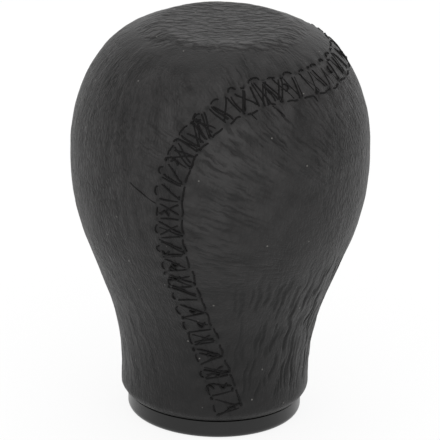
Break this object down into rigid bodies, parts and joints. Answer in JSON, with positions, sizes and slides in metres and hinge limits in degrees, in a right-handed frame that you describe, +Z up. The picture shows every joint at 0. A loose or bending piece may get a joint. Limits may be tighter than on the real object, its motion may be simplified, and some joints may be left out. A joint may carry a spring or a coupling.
{
  "type": "gear shift knob",
  "caption": "Pear-shaped gear shift knob with a flat top, covered in black leather panels laced along a curved seam, with a base ring and a threaded socket for the lever.",
  "frame": {"origin": "centre of the base ring's underside, on the lever's axis", "axes": "+Z up along the lever's axis, +X to the middle of the side panel, so that the seam is symmetric about the XZ plane"},
  "size_m": [0.053, 0.053, 0.0729],
  "materials": {
    "core_plastic": "black rigid plastic, as moulded",
    "insert_brass": "turned brass",
    "ring_plastic": "black satin plastic",
    "leather": "black leather with a fine wrinkled grain, satin",
    "thread": "black waxed sewing thread"
  },
  "bodies": {
    "root": {"core": "core_plastic", "threaded_insert": "insert_brass", "base_ring": "ring_plastic", "main_panel": "leather", "side_panel": "leather", "seam_lacing": "thread", "main_edge_stitching": "thread", "side_edge_stitching": "thread"}
  },
  "joints": []
}
